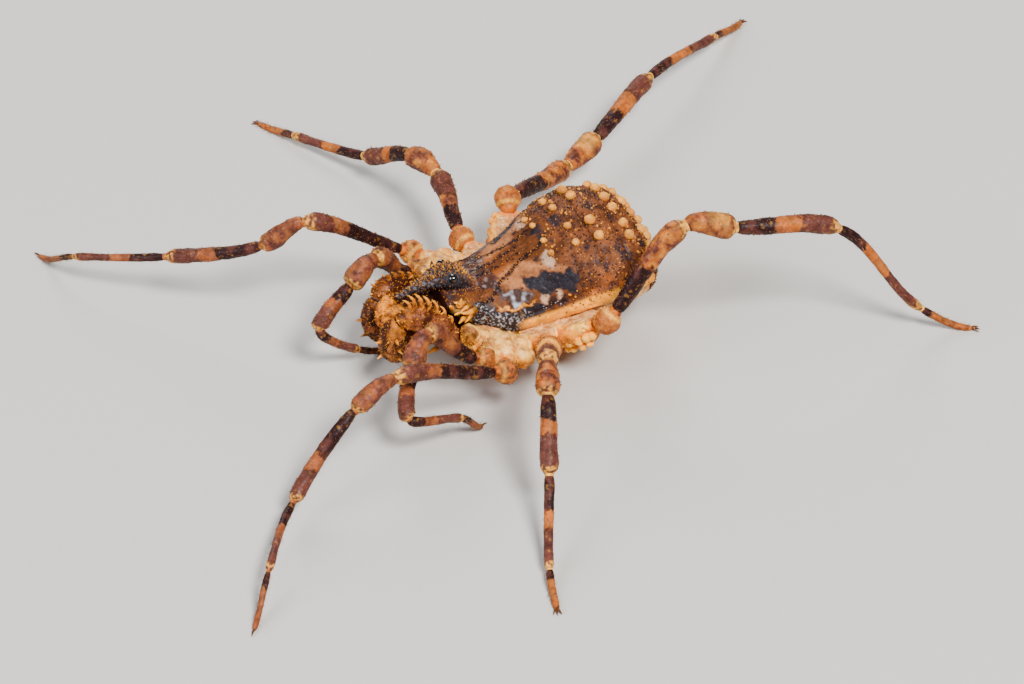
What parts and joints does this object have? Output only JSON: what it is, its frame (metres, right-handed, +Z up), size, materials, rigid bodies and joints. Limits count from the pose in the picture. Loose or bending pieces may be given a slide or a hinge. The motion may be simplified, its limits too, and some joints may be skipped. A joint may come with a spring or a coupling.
{
  "type": "harvestman arachnid model",
  "caption": "Small armoured harvestman with a forward horn over its eyes, spined folded palps and long banded legs, as a still life-size model.",
  "frame": {"origin": "centre of the whole model's box, on the floor under it", "axes": "-X is the way the head points, -Y is the animal's left, +Z is up"},
  "size_m": [0.0141, 0.0131, 0.0029],
  "materials": {
    "shell": "glossy tan to red-brown cuticle, granular, black blotches",
    "belly": "cream to orange-tan hips with yellow warts",
    "hood": "dark brown, densely granular, with a paler blunt tip",
    "eye": "glossy black",
    "palp": "granular brown and cream with pale-edged spines",
    "joint": "orange-tan, granular, cream rims",
    "leg": "dark purple-brown with orange and cream bands, granular",
    "foot": "dark brown with an orange band and pale ends, short hairs"
  },
  "bodies": {
    "root": {"belly": "belly", "eye_left": "eye", "eye_right": "eye", "femur_left_1": "leg", "femur_left_2": "leg", "femur_left_3": "leg", "femur_left_4": "leg", "femur_right_1": "leg", "femur_right_2": "leg", "femur_right_3": "leg", "femur_right_4": "leg", "hood": "hood", "jaw_left": "palp", "jaw_right": "palp", "metatarsus_left_1": "foot", "metatarsus_left_2": "foot", "metatarsus_left_3": "foot", "metatarsus_left_4": "foot", "metatarsus_right_1": "foot", "metatarsus_right_2": "foot", "metatarsus_right_3": "foot", "metatarsus_right_4": "foot", "palp_arm_left": "palp", "palp_arm_right": "palp", "palp_hand_left": "palp", "palp_hand_right": "palp", "patella_left_1": "leg", "patella_left_2": "leg", "patella_left_3": "leg", "patella_left_4": "leg", "patella_right_1": "leg", "patella_right_2": "leg", "patella_right_3": "leg", "patella_right_4": "leg", "shield": "shell", "tail_plates": "shell", "tarsus_left_1": "foot", "tarsus_left_2": "foot", "tarsus_left_3": "foot", "tarsus_left_4": "foot", "tarsus_right_1": "foot", "tarsus_right_2": "foot", "tarsus_right_3": "foot", "tarsus_right_4": "foot", "tibia_left_1": "leg", "tibia_left_2": "leg", "tibia_left_3": "leg", "tibia_left_4": "leg", "tibia_right_1": "leg", "tibia_right_2": "leg", "tibia_right_3": "leg", "tibia_right_4": "leg", "trochanter_left_1": "joint", "trochanter_left_2": "joint", "trochanter_left_3": "joint", "trochanter_left_4": "joint", "trochanter_right_1": "joint", "trochanter_right_2": "joint", "trochanter_right_3": "joint", "trochanter_right_4": "joint"}
  },
  "joints": []
}
